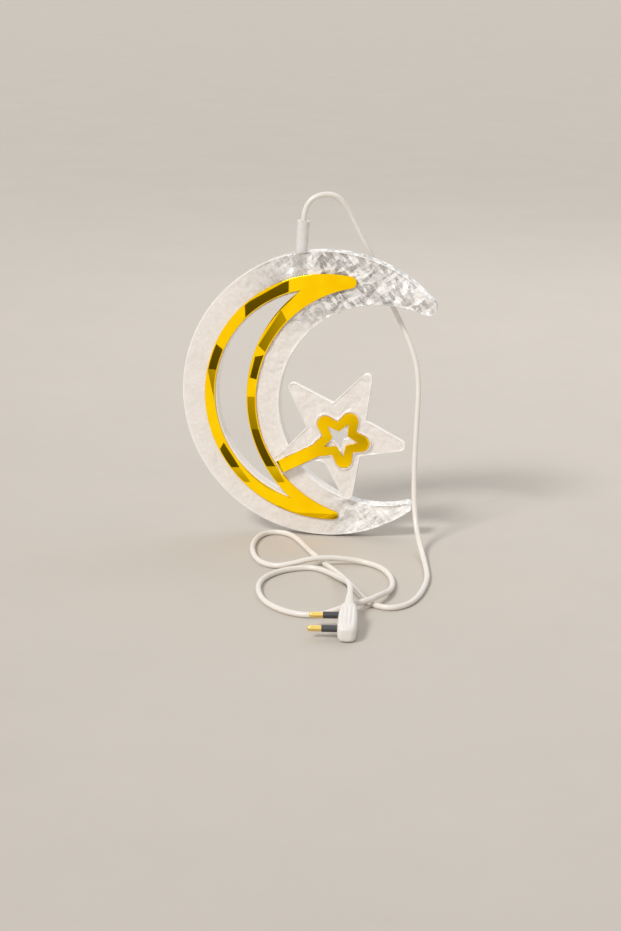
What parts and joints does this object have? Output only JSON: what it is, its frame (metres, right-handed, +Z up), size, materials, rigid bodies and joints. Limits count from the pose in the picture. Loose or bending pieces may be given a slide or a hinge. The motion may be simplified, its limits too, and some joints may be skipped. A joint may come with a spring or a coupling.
{
  "type": "crescent and star lamp ornament",
  "caption": "Hanging crescent and star ornament of ice-textured clear acrylic with gold mirror inlays, lit from a lamp sleeve in its rim, on a thin lead with a two-pin plug.",
  "frame": {"origin": "hang point, on the underside of the arch that the lead makes above the crescent", "axes": "+Z up, +X to the right seen from the front, +Y away from the viewer through the panel's thickness"},
  "size_m": [0.1985, 0.2562, 0.259],
  "materials": {
    "ice_acrylic": "clear acrylic with an ice-crackle relief",
    "gold_mirror": "gold mirror acrylic sheet",
    "clear_tape": "clear mounting tape",
    "clear_sleeve": "clear moulded plastic",
    "clear_grommet": "soft clear vinyl",
    "diode_epoxy": "clear epoxy, warm white",
    "tinned_wire": "tinned wire",
    "resistor_body": "lacquered ceramic",
    "core_insulation": "white vinyl insulation",
    "shrink_sleeve": "white heat-shrink sleeve",
    "lead_jacket": "milky flexible vinyl",
    "plug_shell": "moulded plastic, light grey",
    "pin_brass": "bright brass",
    "pin_insulation": "dark insulating collar",
    "board": "circuit board",
    "capacitor_case": "dipped film capacitor",
    "rectifier_case": "moulded epoxy"
  },
  "bodies": {
    "root": {"crescent_tray": "ice_acrylic", "crescent_cover": "ice_acrylic", "star_panel": "ice_acrylic", "gold_crescent": "gold_mirror", "gold_star": "gold_mirror", "band_tape": "clear_tape", "star_tape": "clear_tape", "tongue_pad": "clear_tape", "lamp_sleeve": "clear_sleeve", "lamp_grommet": "clear_grommet", "diode_lens": "diode_epoxy", "diode_legs": "tinned_wire", "series_resistor": "resistor_body", "lamp_cores": "core_insulation", "plug_cores": "core_insulation", "shrink_tubes": "shrink_sleeve", "supply_lead": "lead_jacket", "plug_boot": "lead_jacket", "plug_base": "plug_shell", "plug_cover": "plug_shell", "plug_pins": "pin_brass", "pin_collars": "pin_insulation", "driver_board": "board", "dropper_capacitor": "capacitor_case", "bridge_rectifier": "rectifier_case"}
  },
  "joints": []
}
